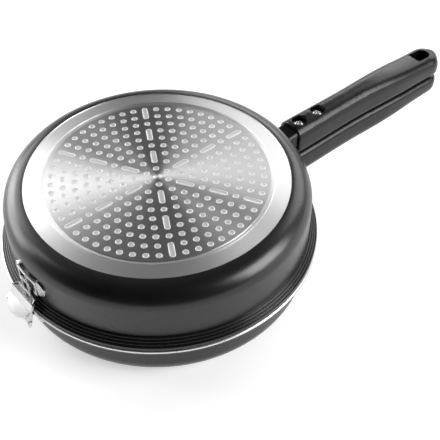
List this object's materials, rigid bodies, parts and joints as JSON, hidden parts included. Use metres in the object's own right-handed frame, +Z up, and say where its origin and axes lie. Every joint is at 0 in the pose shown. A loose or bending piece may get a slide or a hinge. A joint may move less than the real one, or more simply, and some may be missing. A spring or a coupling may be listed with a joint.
{
  "type": "double sided flip pan",
  "caption": "A deep and a shallow round pan, rim to rim, that swing on a clip hinge opposite a pair of stacked handles, with a perforated induction base on each.",
  "frame": {"origin": "centre of the lower base's resting face", "axes": "+Z up from the lower base to the upper base, +X along the handles, the hinge on -X"},
  "size_m": [0.4469, 0.2402, 0.088],
  "materials": {
    "coated_aluminium": "semi-gloss black heat-proof coating outside, dark grey non-stick coating inside, turned bare aluminium ring on the base and bare rim edge on the lower pan",
    "induction_steel": "radially turned stainless steel with pressed-through holes",
    "bakelite": "satin black phenolic moulding",
    "polished_steel": "bright stainless sheet and screws",
    "rivet_aluminium": "bare aluminium rivets"
  },
  "bodies": {
    "lower_pan": {"lower_pan_shell": "coated_aluminium", "lower_induction_plate": "induction_steel", "lower_handle_bracket": "polished_steel", "lower_bracket_rivets": "rivet_aluminium", "lower_handle_ferrule": "bakelite", "lower_handle_grip": "bakelite", "lower_handle_screws": "polished_steel", "lower_hinge_bracket": "polished_steel", "lower_hinge_rivets": "rivet_aluminium", "hinge_pin": "polished_steel"},
    "upper_pan": {"upper_pan_shell": "coated_aluminium", "upper_induction_plate": "induction_steel", "upper_handle_bracket": "polished_steel", "upper_bracket_rivets": "rivet_aluminium", "upper_handle_ferrule": "bakelite", "upper_handle_grip": "bakelite", "upper_handle_screws": "polished_steel", "upper_catch_plate": "polished_steel", "upper_catch_rivets": "rivet_aluminium"},
    "hinge_clip": {"hinge_clip": "polished_steel"}
  },
  "joints": [
    {"name": "pan_swing", "type": "hinge", "parent": "lower_pan", "child": "upper_pan", "pos_m": [-0.1257, 0, 0.033], "axis": [0, -1, 0], "range_deg": [0, 105]},
    {"name": "clip_release", "type": "hinge", "parent": "upper_pan", "child": "hinge_clip", "pos_m": [-0.1257, 0, 0.033], "axis": [0, -1, 0], "range_deg": [0, 30]}
  ]
}
